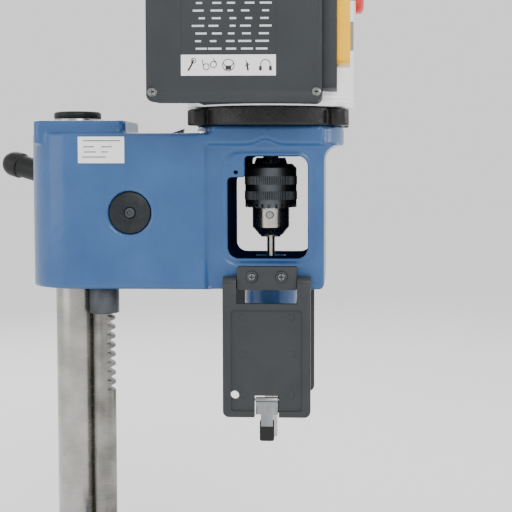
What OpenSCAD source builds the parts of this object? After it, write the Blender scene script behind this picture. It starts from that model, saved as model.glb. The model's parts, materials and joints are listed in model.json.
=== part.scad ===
// Bench hollow-chisel mortiser. Millimetres, +Z up, the front of the machine faces -Y.
// The origin is the centre of the base's underside, midway between its four bolt holes.

/* [Base and table] */
// Width of the base casting
base_w = 300; // [280:5:400]
// Distance from the origin to the front edge of the base
base_front = 185; // [165:5:230]
// Distance from the origin to the rear edge of the base
base_rear = 185; // [175:5:240]
// Thickness of the base plate
base_t = 24; // [18:1:36]
// Distance between the bolt holes across the base
bolt_span_x = 260; // [220:5:270]
// Distance between the bolt holes from front to rear
bolt_span_y = 320; // [280:5:330]
// Diameter of the bolt holes
bolt_d = 10; // [8:0.5:13]
// Height of the table's top face
table_z = 78; // [70:1:90]
// Thickness of the table board
table_t = 18; // [12:1:25]
// Width of the table board
table_w = 180; // [140:5:190]

/* [Column and rack] */
// Diameter of the main column
column_d = 48; // [40:1:54]
// Distance of the main column's axis behind the origin
column_y = 125; // [120:1:135]
// Diameter of the round rack rod
rod_d = 22; // [20:0.5:25]
// Gear module of the rack and of its pinion
rack_module = 3; // [2.5:0.25:3]
// Number of teeth on the pinion
pinion_teeth = 16; // [14:1:16]
// Downward travel of the head
head_travel = 110; // [60:5:120]

/* [Head] */
// Height of the head's underside with the head raised
head_z = 400; // [390:2:420]
// Height of the head's arm
arm_h = 154.7; // [150:1:165]
// Half the width of the arm
arm_half = 55; // [52:1:60]
// Half the width of the housing around the chuck
housing_half = 50; // [46:1:52]
// Distance of the spindle's axis ahead of the origin
spindle_y = 75; // [70:1:80]
// Length of the chuck window from front to rear
window_l = 79; // [70:1:84]
// Height of the chuck window
window_h = 101; // [90:1:104]
// Thickness of the housing's floor under the window
floor_t = 31; // [26:1:36]

/* [Motor and switch] */
// Radius of the motor's housing
motor_r = 84.8; // [80:0.5:92]
// Height of the motor's housing
motor_h = 168; // [150:2:200]
// Thickness of the motor's flange
flange_t = 18.3; // [14:0.5:24]
// Width of the control box from front to rear
box_w = 161.5; // [150:1:175]
// Height of the control box
box_h = 150; // [140:1:170]

/* [Chuck and tool] */
// Diameter of the chuck's sleeve
sleeve_d = 53; // [46:0.5:60]
// Diameter of the auger bit
bit_d = 8.2; // [6:0.2:9]
// Width across the flats of the hollow chisel
chisel_w = 12.7; // [11:0.1:16]
// Diameter of the hollow chisel's shank
shank_d = 19; // [17:0.5:25]

/* [Doors] */
// Width of a chuck door
door_w = 86; // [82:1:92]
// Distance from a door's hinge axis to its free edge
door_l = 130; // [122:1:132]
// Thickness of a door
door_t = 8; // [6:0.5:8]
// Width of the bracket that a door hangs from
bracket_w = 58.6; // [50:1:60]

/* [Feed handle] */
// Length of the feed handle's bar
handle_l = 200; // [160:5:220]
// Diameter of the feed handle's bar
handle_d = 14; // [12:0.5:16]

/* [Hidden] */
$fn = 96;
eps = 0.01;
// Radial gap of a running fit, and the gap between faces that pass each other
fit = 0.05;
gap = 0.3;
pad = 1;

sy = -spindle_y;
head_top = head_z + arm_h;
neck_bottom = head_top - 12;
neck_top = head_top + 7.3;
neck_r = 75;
flange_top = neck_top + flange_t;
motor_top = flange_top + motor_h;
column_top = head_top + 16;

// The rack rod's teeth face the front, and the pinion's axis lies ahead of them.
rod_x = -25;
rod_y = column_y - 31.4;
tooth_pitch = PI * rack_module;
tooth_depth = 2.25 * rack_module;
pinion_r = rack_module * pinion_teeth / 2;
pinion_y = rod_y - rod_d / 2 + rack_module - pinion_r;
pinion_z = head_z + 75.9;
pinion_outer = pinion_r + rack_module;
rod_top = head_top - 5;
rack_low = head_z - 108;
rack_teeth = floor((rod_top - 30 - rack_low) / tooth_pitch);
// Turns the pinion so that one tooth points into a gap of the rack
pinion_phase = ((rack_low + 0.5 * tooth_pitch - pinion_z) / pinion_r) * 180 / PI;
journal_d = 38;
washer_d = 41.4;
shaft_d = 30;

// Window, floor and chisel boss of the housing
window_z = head_z + floor_t;
housing_front = sy - 56;
boss_d = 54;
boss_z = head_z - 35;
bushing_d = 30;

// Doors turn about axes along Y, one each side of the housing.
hinge_x = housing_half + 10;
hinge_z = head_z + 6;
door_gap = 0.7;
bracket_z0 = head_z + 1;
bracket_z1 = hinge_z + 17.6;
notch_l = bracket_z1 - hinge_z + 0.6;
trunnion_d = 6;
latch_w = 24;
latch_l = 21;
clip_t = 1.2;

// Fence bars run along Y above the base, and a small pinion under the right one drives them.
bar_d = 14;
bar_x = base_w / 2 - 40;
bar_z = table_z + 17;
post_y = 35;
fence_module = 1.5;
fence_teeth = 12;
fence_pinion_r = fence_module * fence_teeth / 2;
fence_pinion_z = bar_z - bar_d / 2 + fence_module - fence_pinion_r;
fence_y = -60;
fence_top = bar_z + 25;

// Screws that hold the motor's flange down on the neck
flange_angles = [45, 135, 225, 315];
flange_bolt_r = 62;
ear_x = 42;
ear_y = 69;

// Depth stop on the far side of the column
stop_x = 92;
stop_y = column_y + 3;
stop_d = 12;
ear_t = 18;
collar_top = head_z - head_travel - gap;
collar_h = 20;

// Gas spring beside the column, from the base to the head's underside
gas_x = column_d / 2 + 16;
gas_y = column_y - 7;
gas_d = 18;
gas_rod_d = 8;
gas_z = base_t + 16;
gas_top = head_z - head_travel - 8;
gas_seat = 22;

// A rectangle with round corners, centred, drawn from squares and circles
module rrect(w, h, r) {
    square([w - 2 * r, h], center = true);
    square([w, h - 2 * r], center = true);
    for (sx = [-1, 1], sz = [-1, 1])
        translate([sx * (w / 2 - r), sz * (h / 2 - r)]) circle(r);
}

// A block with its four upright edges rounded
module rblock_z(x0, x1, y0, y1, z0, z1, r) {
    translate([(x0 + x1) / 2, (y0 + y1) / 2, z0]) linear_extrude(z1 - z0) rrect(x1 - x0, y1 - y0, r);
}

// A block with its four edges along X rounded
module rblock_x(x0, x1, y0, y1, z0, z1, r) {
    translate([x0, (y0 + y1) / 2, (z0 + z1) / 2])
        rotate([90, 0, 90]) linear_extrude(x1 - x0) rrect(y1 - y0, z1 - z0, r);
}

// A block with its four edges along Y rounded
module rblock_y(x0, x1, y0, y1, z0, z1, r) {
    translate([(x0 + x1) / 2, y1, (z0 + z1) / 2])
        rotate([90, 0, 0]) linear_extrude(y1 - y0) rrect(x1 - x0, z1 - z0, r);
}

module block(x0, x1, y0, y1, z0, z1) {
    translate([x0, y0, z0]) cube([x1 - x0, y1 - y0, z1 - z0]);
}

module cyl_x(x0, x1, y, z, d) {
    translate([x0, y, z]) rotate([0, 90, 0]) cylinder(h = x1 - x0, d = d);
}

module cyl_y(x, y0, y1, z, d) {
    translate([x, y1, z]) rotate([90, 0, 0]) cylinder(h = y1 - y0, d = d);
}

module cyl_z(x, y, z0, z1, d) {
    translate([x, y, z0]) cylinder(h = z1 - z0, d = d);
}

// A socket-head screw along -Z from the origin: its head stands above z = 0
module socket_screw(d, head_d, head_h, l) {
    difference() {
        union() {
            translate([0, 0, -l]) cylinder(h = l + eps, d = d);
            cylinder(h = head_h, d = head_d);
        }
        translate([0, 0, head_h * 0.45]) cylinder(h = head_h, d = head_d * 0.5, $fn = 6);
    }
}

module base_casting() {
    color("#31516a") difference() {
        union() {
            rblock_z(-base_w / 2, base_w / 2, -base_front, base_rear, 0, base_t, 24);
            // Pad under the table
            rblock_z(-table_w / 2 + 10, table_w / 2 - 10, -base_front + 20, 50, base_t - eps,
                table_z - table_t, 10);
            // Sockets of the column, the rack rod, the depth rod and the gas spring
            cyl_z(0, column_y, base_t - eps, 84, column_d + 30);
            cyl_z(rod_x, rod_y, base_t - eps, 84, rod_d + 16);
            cyl_z(stop_x, stop_y, base_t - eps, 60, stop_d + 18);
            cyl_z(gas_x, gas_y, base_t - eps, gas_z, gas_d + 12);
            // Posts that carry the fence bars
            for (s = [-1, 1])
                rblock_z(s * bar_x - 16, s * bar_x + 16, post_y - 22, post_y + 22, base_t - eps,
                    bar_z + 16, 6);
        }
        // Hollow underside, with solid pads left round the bolt holes
        difference() {
            rblock_z(-base_w / 2 + 14, base_w / 2 - 14, -base_front + 14, 40, -pad, base_t - 12, 14);
            for (a = [-1, 1])
                cyl_z(a * bolt_span_x / 2, -bolt_span_y / 2, -2 * pad, base_t, bolt_d + 18);
        }
        cyl_z(0, column_y, 10, 84 + pad, column_d + 2 * fit);
        cyl_z(rod_x, rod_y, -pad, 84 + pad, rod_d + 2 * fit);
        cyl_z(rod_x, rod_y, -pad, 10, 30);
        cyl_z(stop_x, stop_y, 10, 60 + pad, stop_d + 2 * fit);
        cyl_z(gas_x, gas_y, base_t - 8, 84 + pad, gas_d + 2 * fit);
        for (s = [-1, 1]) {
            cyl_y(s * bar_x, post_y - 22 - pad, post_y + 22 + pad, bar_z, bar_d + 2 * fit);
            for (b = [-1, 1])
                cyl_z(s * bolt_span_x / 2, b * bolt_span_y / 2, -pad, base_t + pad, bolt_d);
        }
        // Room for the fence pinion and its shaft, open to the right
        cyl_x(bar_x - 9, bar_x + 9, post_y, fence_pinion_z, 2 * (fence_pinion_r + fence_module) + 1);
        cyl_x(bar_x, bar_x + 16 + pad, post_y, fence_pinion_z, 2 * (fence_pinion_r + fence_module) + 1);
        cyl_x(bar_x - 16 - pad, bar_x, post_y, fence_pinion_z, 8 + 2 * fit);
        // Thread of the fence lock
        cyl_z(-bar_x, post_y, bar_z, bar_z + 16 + pad, 8 + 2 * fit);
        // Clamp bolts of the column
        for (z = [42, 66])
            cyl_y(0, column_y + column_d / 2 - 4, base_rear + pad, z, 8 + 2 * fit);
    }
}

module table_board() {
    color("#b98f5b") difference() {
        rblock_z(-table_w / 2, table_w / 2, -base_front + 12, 56, table_z - table_t, table_z, 8);
        for (s = [-1, 1], y = [-base_front + 40, 30])
            translate([s * (table_w / 2 - 24), y, table_z - 6]) {
                translate([0, 0, -table_t]) cylinder(h = table_t + 2 * pad, d = 6 + 2 * fit);
                cylinder(h = 6 + pad, d = 13);
            }
    }
}

module table_screws() {
    color("silver") for (s = [-1, 1], y = [-base_front + 40, 30])
        translate([s * (table_w / 2 - 24), y, table_z - 6]) socket_screw(6, 11, 5, table_t - 6);
}

module column() {
    color("#b4b1aa") cyl_z(0, column_y, 10, column_top, column_d);
}

module column_cap() {
    color("#2a2a2a") translate([0, column_y, column_top]) rotate_extrude() {
        square([column_d / 2, 4]);
        square([column_d / 2 - 3, 7]);
        translate([column_d / 2 - 3, 4]) intersection() {
            circle(3);
            square(4);
        }
    }
}

module column_clamp_bolts() {
    color("#3a3a3a") for (z = [42, 66])
        translate([0, column_y + column_d / 2 + 15, z]) rotate([-90, 0, 0])
            socket_screw(8, 13, 8, 14);
}

// The rack rod: a round bar with straight teeth cut across its front
module rack_rod() {
    color("#9a9a98") difference() {
        cyl_z(rod_x, rod_y, 10, rod_top, rod_d);
        for (i = [0:rack_teeth - 1]) {
            z = rack_low + (i + 0.5) * tooth_pitch;
            translate([rod_x, rod_y - rod_d / 2, z]) rotate([90, 0, 90])
                linear_extrude(rod_d + 2 * pad, center = true)
                    polygon([[-pad, -tooth_pitch * 0.4], [-pad, tooth_pitch * 0.4],
                        [tooth_depth, tooth_pitch * 0.15], [tooth_depth, -tooth_pitch * 0.15]]);
        }
    }
}

module rack_rod_nut() {
    color("#5a5a5a") difference() {
        cyl_z(rod_x, rod_y, 1, 9.8, 26);
        cyl_z(rod_x, rod_y, 0, 5, 10);
    }
}

module gas_cylinder() {
    color("#232323") difference() {
        cyl_z(gas_x, gas_y, base_t - 7.9, gas_top, gas_d);
        cyl_z(gas_x, gas_y, gas_z + 4, gas_top - 12, gas_d - 3);
        cyl_z(gas_x, gas_y, gas_top - 12 - eps, gas_top + pad, gas_rod_d + 2 * fit);
    }
}

// The rod's piston end stays inside the cylinder, and its top is seated in the head's underside
module gas_rod() {
    color("silver") {
        cyl_z(gas_x, gas_y, gas_top - 30, head_z + gas_seat, gas_rod_d);
        cyl_z(gas_x, gas_y, gas_top - 40, gas_top - 30 + eps, gas_d - 3.3);
        cyl_z(gas_x, gas_y, head_z - 6, head_z - 0.02, gas_rod_d + 6);
    }
}

module fence_plate() {
    color("#3f4346") difference() {
        union() {
            rblock_y(-bar_x - 14, bar_x + 14, fence_y, fence_y + 10, table_z + gap, fence_top, 3);
            for (s = [-1, 1])
                cyl_y(s * bar_x, fence_y + 10 - eps, fence_y + 24, bar_z, bar_d + 12);
        }
        for (s = [-1, 1])
            cyl_y(s * bar_x, fence_y + 4, fence_y + 24 + pad, bar_z, bar_d + 2 * fit);
    }
}

module fence_bars() {
    color("#b4b1aa") difference() {
        for (s = [-1, 1]) cyl_y(s * bar_x, fence_y + 4, fence_y + 214, bar_z, bar_d);
        // Teeth along the underside of the right bar
        for (i = [-14:22])
            translate([bar_x, post_y + (i + 0.5) * PI * fence_module, bar_z - bar_d / 2])
                rotate([90, 0, 90]) linear_extrude(14, center = true)
                    polygon([[-2.05, -pad], [2.05, -pad], [0.9, 3.4], [-0.9, 3.4]]);
    }
}

// A gear blank with straight teeth, its axis along X, centred on x = 0; one tooth points along +Y
module spur_x(teeth, m, w) {
    r = m * teeth / 2;
    rotate([90, 0, 90]) linear_extrude(w, center = true) union() {
        circle(r - 1.25 * m);
        for (i = [0:teeth - 1]) rotate(i * 360 / teeth)
            polygon([[r - 1.25 * m - 1, -m * 1.0], [r - 1.25 * m - 1, m * 1.0], [r, m * 0.66],
                [r + m * 0.9, m * 0.26], [r + m * 0.9, -m * 0.26], [r, -m * 0.66]]);
    }
}

module fence_knob() {
    color("#232323") translate([0, post_y, fence_pinion_z]) {
        translate([bar_x, 0, 0]) rotate([90 + 180 / fence_teeth, 0, 0]) spur_x(fence_teeth, fence_module, 14);
        rotate([0, 90, 0]) {
            translate([0, 0, bar_x - 16]) cylinder(h = 32, d = 8);
            translate([0, 0, bar_x + 6]) cylinder(h = 17, d = 14);
            translate([0, 0, bar_x + 22]) difference() {
                cylinder(h = 20, d = 44);
                for (i = [0:8]) rotate(i * 40) translate([24, 0, -pad]) cylinder(h = 22, d = 9);
            }
        }
    }
}

module fence_lock() {
    color("#232323") translate([-bar_x, post_y, 0]) {
        translate([0, 0, bar_z + bar_d / 2 + 0.1]) cylinder(h = 20, d = 8);
        translate([0, 0, bar_z + 16.3]) cylinder(h = 14, d = 18);
        translate([0, 0, bar_z + 23]) rotate([-70, 0, 0]) cylinder(h = 50, d = 9);
        translate([0, 47, bar_z + 40]) sphere(d = 13);
    }
}

module depth_rod() {
    color("#b4b1aa") cyl_z(stop_x, stop_y, 10, 500, stop_d);
}

module depth_collar() {
    color("#3a3a3a") difference() {
        union() {
            cyl_z(stop_x, stop_y, collar_top - collar_h, collar_top, stop_d + 16);
            cyl_x(stop_x, stop_x + stop_d / 2 + 12, stop_y, collar_top - collar_h / 2, 12);
        }
        cyl_z(stop_x, stop_y, collar_top - collar_h - pad, collar_top + pad, stop_d + 2 * fit);
        cyl_x(stop_x, stop_x + 30, stop_y, collar_top - collar_h / 2, 6 + 2 * fit);
    }
}

module depth_collar_screw() {
    color("#232323") {
        cyl_x(stop_x + stop_d / 2 + 0.1, stop_x + stop_d / 2 + 13, stop_y, collar_top - collar_h / 2, 6);
        difference() {
            cyl_x(stop_x + stop_d / 2 + 12.2, stop_x + stop_d / 2 + 24, stop_y,
                collar_top - collar_h / 2, 24);
            for (i = [0:5]) translate([0, stop_y, collar_top - collar_h / 2]) rotate([i * 60, 0, 0])
                cyl_x(stop_x + stop_d / 2 + 12, stop_x + stop_d / 2 + 25, 14, 0, 8);
        }
    }
}

// The head: an arm round the column, and a box round the chuck with an open window
module head_casting() {
    color("#597da1") difference() {
        union() {
            rblock_arm();
            // Concave fillet between the arm and the narrower housing
            translate([0, 0, head_z]) linear_extrude(arm_h) difference() {
                translate([-arm_half, sy + 50]) square([2 * arm_half, 14]);
                for (s = [-1, 1]) translate([s * (housing_half + 11), sy + 50]) circle(11);
            }
            rblock_x(-housing_half, housing_half, housing_front, sy + 62, head_z, head_top - 4, 5);
            // Neck under the motor, with flat sides
            intersection() {
                cyl_z(0, sy, neck_bottom, neck_top, 2 * neck_r);
                block(-arm_half, arm_half, sy - 90, sy + 90, head_z, neck_top);
            }
            // Fillet from the neck down to the front of the housing
            translate([0, 0, 0]) rotate([90, 0, 90]) linear_extrude(2 * housing_half, center = true)
                difference() {
                    translate([sy - neck_r + 5, neck_bottom - 14]) square([20, 15]);
                    translate([sy - neck_r + 5, neck_bottom - 14]) circle(14);
                }
            // Raised boss round the column, chisel boss and depth-stop ear
            rblock_z(-44, 40, 68, column_y + 36, head_top - 10, head_top + 13, 8);
            cyl_z(0, sy, boss_z, head_z + eps, boss_d);
            rblock_z(arm_half - 12, stop_x + 12, stop_y - 14, stop_y + 14, head_z, head_z + ear_t, 8);
            // Boss of the feed shaft on the right
            cyl_x(arm_half - eps, arm_half + 8, pinion_y, pinion_z, 76);
            // Door lug in the window's upper rear corner, both sides
            for (s = [-1, 1]) translate([s * (housing_half - 5), 0, 0])
                rblock_x(-5, 5, sy + window_l / 2 - 17, sy + window_l / 2 + 2,
                    window_z + window_h - 21, window_z + window_h + 2, 2);
        }
        head_cuts();
    }
}

module rblock_arm() {
    translate([0, 0, head_z]) linear_extrude(arm_h) union() {
        translate([-arm_half, sy + 63]) square([2 * arm_half, column_y - 10 - sy - 63]);
        translate([0, column_y - 10]) circle(arm_half);
    }
}

module head_cuts() {
    // Chuck window, through both sides, kept clear of the lugs
    difference() {
        rblock_x(-arm_half - pad, arm_half + pad, sy - window_l / 2, sy + window_l / 2, window_z,
            window_z + window_h, 10);
        for (s = [-1, 1]) translate([s * (housing_half - 5), 0, 0])
            rblock_x(-5, 5, sy + window_l / 2 - 17, sy + window_l / 2 + 12,
                window_z + window_h - 21, window_z + window_h + 12, 2);
    }
    for (s = [-1, 1])
        cyl_x(min(s * 38, s * 60), max(s * 38, s * 60), sy + window_l / 2 - 8, window_z + window_h - 16,
            5);
    // Column and rack rod
    cyl_z(0, column_y, head_z - pad, head_top + 30, column_d + 2 * fit);
    cyl_z(rod_x, rod_y, head_z - pad, head_top + 30, rod_d + 2 * fit);
    cyl_z(rod_x, rod_y, head_z - pad, head_z + 12, 26.1);
    // Pinion: counterbore, left journal and the wide bore to the right
    cyl_x(-arm_half - pad, -arm_half + 8, pinion_y, pinion_z, washer_d + 1.4);
    cyl_x(-arm_half, -arm_half + 20, pinion_y, pinion_z, journal_d + 2 * fit);
    cyl_x(-arm_half + 18, arm_half + 8 + pad, pinion_y, pinion_z, 2 * pinion_outer + 2);
    // Arbor passage, spigot of the motor and the chisel bushing
    cyl_z(0, sy, window_z + window_h - 2, neck_top + pad, 40);
    cyl_z(0, sy, neck_top - 4, neck_top + pad, 90);
    cyl_z(0, sy, boss_z - pad, window_z + pad, bushing_d + 0.02);
    cyl_y(0, sy - boss_d, sy, boss_z + 14, 8 + 2 * fit);
    // Depth rod, gas spring, lock, flange bolts and bracket screws
    cyl_z(stop_x, stop_y, head_z - pad, head_z + ear_t + pad, stop_d + 2);
    cyl_z(gas_x, gas_y, head_z - pad, head_z + gas_seat + 0.1, gas_rod_d + 0.02);
    cyl_x(column_d / 2 - 4, arm_half + pad, column_y, head_top - 34, 10 + 2 * fit);
    for (a = flange_angles)
        cyl_z(flange_bolt_r * cos(a), sy + flange_bolt_r * sin(a), neck_top - 16, neck_top + pad, 6.05);
    for (s = [-1, 1], b = [-1, 1])
        cyl_x(min(s * 38, s * 60), max(s * 38, s * 60), sy + b * 14.5, bracket_z1 - 9.5, 5.05);
}

module rod_bushing() {
    color("#212526") difference() {
        union() {
            cyl_z(rod_x, rod_y, head_z - 27, head_z - 0.02, 30);
            cyl_z(rod_x, rod_y, head_z - 1, head_z + 12, 26);
        }
        cyl_z(rod_x, rod_y, head_z - 28, head_z + 13, rod_d + 2 * fit);
    }
}

// Pinion and shaft in one piece; its teeth mesh with the rack rod
module pinion_shaft() {
    color("#8a8a88") difference() {
        union() {
            translate([rod_x, pinion_y, pinion_z]) rotate([pinion_phase, 0, 0])
                spur_x(pinion_teeth, rack_module, 22);
            cyl_x(-arm_half + 8.02, rod_x, pinion_y, pinion_z, journal_d);
            cyl_x(rod_x, arm_half + 44, pinion_y, pinion_z, shaft_d);
        }
        cyl_x(-arm_half, -arm_half + 22, pinion_y, pinion_z, 6);
    }
}

module pinion_bushing() {
    color("#7c7f80") difference() {
        union() {
            cyl_x(0, arm_half + 8, pinion_y, pinion_z, 2 * pinion_outer + 1.98);
            cyl_x(arm_half + 8.02, arm_half + 14, pinion_y, pinion_z, 70);
        }
        cyl_x(-pad, arm_half + 20, pinion_y, pinion_z, shaft_d + 2 * fit);
    }
}

module pinion_washer() {
    color("#303030") difference() {
        cyl_x(-arm_half + 2, -arm_half + 8, pinion_y, pinion_z, washer_d);
        cyl_x(-arm_half, -arm_half + 9, pinion_y, pinion_z, 6.1);
        cyl_x(-arm_half, -arm_half + 5, pinion_y, pinion_z, 11);
    }
}

module pinion_screw() {
    color("#1c1c1c") translate([-arm_half + 4.98, pinion_y, pinion_z]) rotate([0, -90, 0])
        socket_screw(6, 10, 3.5, 16);
}

hub_x = arm_half + 29;
bar_start = 15;

module feed_hub() {
    color("#232527") difference() {
        union() {
            cyl_x(hub_x, hub_x + 30, pinion_y, pinion_z, 48);
            cyl_x(hub_x - 14, hub_x + eps, pinion_y, pinion_z, 40);
        }
        cyl_x(hub_x - 20, arm_half + 44.1, pinion_y, pinion_z, shaft_d + 2 * fit);
        handle_frame() translate([0, 0, bar_start]) cylinder(h = 40, d = handle_d + 2 * fit);
    }
}

// The bar leaves the hub outwards, and at rest it points back and a little up
module handle_frame() {
    translate([hub_x + 18, pinion_y, pinion_z]) rotate([-(90 - 15), 0, 0]) rotate([0, 20, 0]) children();
}

module feed_bar() {
    color("#b4b1aa") handle_frame() translate([0, 0, bar_start + 0.1])
        cylinder(h = handle_l - 20 - bar_start, d = handle_d);
}

module feed_grip() {
    color("#1c1c1c") handle_frame() difference() {
        translate([0, 0, handle_l - 90]) rotate_extrude() {
            square([13, 84]);
            square([16, 10]);
            translate([0, 78]) square([15, 10]);
            translate([0, 88]) intersection() {
                circle(15);
                square(15);
            }
        }
        translate([0, 0, handle_l - 91]) cylinder(h = 71.2, d = handle_d + 2 * fit);
    }
}

lock_z = head_top - 34;
lock_x = arm_half + 11;
lock_tip = [24.4 - column_y, 37];

module head_lock() {
    color("#2b2c2d") translate([0, column_y, lock_z]) {
        cyl_x(column_d / 2 + 0.3, lock_x + eps, 0, 0, 10);
        cyl_x(arm_half + 1, lock_x + 12, 0, 0, 22);
        rotate([90, 0, 90]) translate([0, 0, lock_x]) linear_extrude(9) polygon([[0, 8], [0, -8],
            [lock_tip[0] + 2, lock_tip[1] - 6], [lock_tip[0], lock_tip[1] + 4.5]]);
    }
}

module chisel_bushing() {
    color("#8f8f8c") difference() {
        cyl_z(0, sy, boss_z, head_z + 10, bushing_d);
        cyl_z(0, sy, boss_z - pad, head_z + 11, shank_d + 0.04);
        cyl_y(0, sy - boss_d, sy, boss_z + 14, 8 + 2 * fit);
    }
}

module chisel_lock_screw() {
    color("#232323") translate([0, sy - boss_d / 2 + 1, boss_z + 14]) rotate([90, 0, 0]) difference() {
        translate([0, 0, -(boss_d - shank_d) / 2 + 1.1]) cylinder(h = (boss_d - shank_d) / 2 - 1, d = 8);
        translate([0, 0, -5]) cylinder(h = 7, d = 4, $fn = 6);
    }
}

chisel_tip = boss_z - 123;

module hollow_chisel() {
    color("#8c8984") difference() {
        union() {
            cyl_z(0, sy, boss_z + eps, head_z + 6, shank_d);
            cyl_z(0, sy, boss_z - 8, boss_z - 0.02, shank_d + 6);
            block(-chisel_w / 2, chisel_w / 2, sy - chisel_w / 2, sy + chisel_w / 2, chisel_tip,
                boss_z - 8 + eps);
            cyl_z(0, sy, boss_z - 1, boss_z + 1, shank_d);
        }
        cyl_z(0, sy, chisel_tip - pad, head_z + 7, bit_d + 0.8);
        // Four sharp points round the mouth, and the chip slot up one side
        translate([0, sy, chisel_tip - 1.5]) rotate_extrude() polygon([[0, -pad], [9, -pad], [9, 0.01], [0, 8]]);
        rblock_y(-2.6, 2.6, sy - chisel_w, sy, chisel_tip + 22, boss_z - 30, 2.5);
    }
}

jaw_z = 449.6 + head_z - 400;

module auger_bit() {
    color("#6b655d") {
        cyl_z(0, sy, chisel_tip + 70, jaw_z + 30, bit_d);
        translate([0, sy, 0]) for (i = [0:5])
            translate([0, 0, chisel_tip + 2 + i * 11.4]) {
                cylinder(h = 5, d = bit_d);
                cylinder(h = 11.5, d = bit_d * 0.55);
            }
        translate([0, sy, chisel_tip - 2]) cylinder(h = 4.1, d1 = 0.6, d2 = bit_d * 0.55);
    }
}

sleeve_top = jaw_z + 75;
sleeve_bottom = jaw_z + 30.5;
body_d = 38;
arbor_d = 16;

module chuck_body() {
    color("#b4b5af") difference() {
        translate([0, sy, 0]) rotate_extrude() polygon([[0, sleeve_top + 6], [15, sleeve_top + 6],
            [17.5, sleeve_top - 1], [17.5, sleeve_bottom + 0.5], [body_d / 2, sleeve_bottom - 0.5],
            [body_d / 2, jaw_z + 10], [12.5, jaw_z + 2], [0, jaw_z + 2]]);
        cyl_z(0, sy, sleeve_top - 26, sleeve_top + 7, arbor_d + 0.02);
        cyl_z(0, sy, jaw_z - pad, sleeve_top - 20, 10);
        for (i = [0:2]) chuck_place(i) translate([0, 0, -9]) cylinder(h = 60, d = jaw_d + 2 * fit);
        // Holes for the chuck key
        for (i = [0:2]) translate([0, sy, jaw_z + 23]) rotate([0, 0, 60 + i * 120]) rotate([0, 90, 0])
            translate([0, 0, 12]) cylinder(h = 10, d = 7.6);
    }
}

jaw_d = 8;
jaw_lean = 16;

// A jaw's own frame: its axis leans in towards the spindle's axis as it goes down
module chuck_place(i) {
    translate([0, sy, jaw_z]) rotate([0, 0, i * 120]) translate([bit_d / 2 + jaw_d / 2 - 1.2, 0, 0])
        rotate([0, jaw_lean, 0]) children();
}

// A jaw is a round rod, ground flat where it grips the bit
module chuck_jaw(i) {
    color("#8c8984") difference() {
        chuck_place(i) translate([0, 0, -2]) cylinder(h = 30, d = jaw_d);
        cyl_z(0, sy, jaw_z - 12, jaw_z + 60, bit_d + 0.04);
        translate([0, sy, jaw_z - 10]) cylinder(h = 10, r = 30);
        translate([0, sy, jaw_z]) rotate([0, 0, i * 120]) translate([-50, -50, -20]) cube([50.6, 100, 80]);
        for (s = [-1, 1]) translate([0, sy, jaw_z - 20]) rotate([0, 0, i * 120 + s * 60])
            mirror([0, s > 0 ? 0 : 1, 0]) translate([-20, -0.25, 0]) cube([60, 30, 90]);
    }
}

module chuck_jaw_1() { chuck_jaw(0); }
module chuck_jaw_2() { chuck_jaw(1); }
module chuck_jaw_3() { chuck_jaw(2); }

module chuck_sleeve() {
    color("#3a3b3d") difference() {
        translate([0, sy, 0]) rotate_extrude() polygon([[17.8, sleeve_bottom + 1], [17.8, sleeve_top],
            [22, sleeve_top], [sleeve_d / 2, sleeve_top - 4.5], [sleeve_d / 2, sleeve_bottom],
            [body_d / 2 + 2, sleeve_bottom - 0.5], [body_d / 2 + gap, sleeve_bottom + 1]]);
        // Ring of gear teeth round the lower edge
        for (i = [0:23]) translate([0, sy, sleeve_bottom]) rotate([0, 0, i * 15])
            translate([body_d / 2 + 1.2, -1.4, -pad]) cube([10, 2.8, 4.4]);
    }
}

module motor_flange() {
    color("#242322") difference() {
        union() {
            cyl_z(0, sy, neck_top + 0.02, flange_top, 152);
            cyl_z(0, sy, neck_top - 3.8, neck_top + 1, 89.9);
            for (a = [-1, 1], b = [-1, 1])
                cyl_z(a * ear_x, sy + b * ear_y, neck_top + 0.02, flange_top - 2, 22);
        }
        cyl_z(0, sy, neck_top - 5, flange_top + pad, 24);
        cyl_z(0, sy, flange_top - 12, flange_top + pad, 40.02);
        for (a = flange_angles) translate([flange_bolt_r * cos(a), sy + flange_bolt_r * sin(a), 0]) {
            translate([0, 0, neck_top - 1]) cylinder(h = 40, d = 6.6);
            translate([0, 0, flange_top - 7]) cylinder(h = 10, d = 11);
        }
    }
}

module flange_bolts() {
    color("#2a2a2a") for (a = flange_angles)
        translate([flange_bolt_r * cos(a), sy + flange_bolt_r * sin(a), flange_top - 7 + 0.02])
            socket_screw(6, 10, 6, flange_t - 7 + 14);
}

module motor_housing() {
    color("#e4e4e4") difference() {
        union() {
            cyl_z(0, sy, flange_top + 0.02, motor_top, 2 * motor_r);
        }
        cyl_z(0, sy, flange_top - pad, motor_top - 16, 2 * motor_r - 16);
        cyl_z(0, sy, motor_top - 17, motor_top + pad, 22);
        cyl_z(0, sy, motor_top - 17, motor_top - 4, 40.02);
    }
}

module motor_bearings() {
    color("silver") for (z = [flange_top - 12 + 0.02, motor_top - 16]) difference() {
        cyl_z(0, sy, z, z + 11.9, 40);
        cyl_z(0, sy, z - pad, z + 13, 17.06);
    }
}

module rotor_shaft() {
    color("#9a9a98") {
        cyl_z(0, sy, sleeve_top - 22, neck_top, arbor_d);
        cyl_z(0, sy, neck_top - eps, motor_top + 26, 17);
        cyl_z(0, sy, flange_top + 30, motor_top - 40, 90);
    }
}

module stator() {
    color("#7d5a3a") difference() {
        union() {
            cyl_z(0, sy, flange_top + 30, motor_top - 40, 2 * motor_r - 16.04);
            cyl_z(0, sy, flange_top + 20, motor_top - 28, 128);
        }
        cyl_z(0, sy, flange_top + 10, motor_top - 10, 91.2);
    }
}

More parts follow.
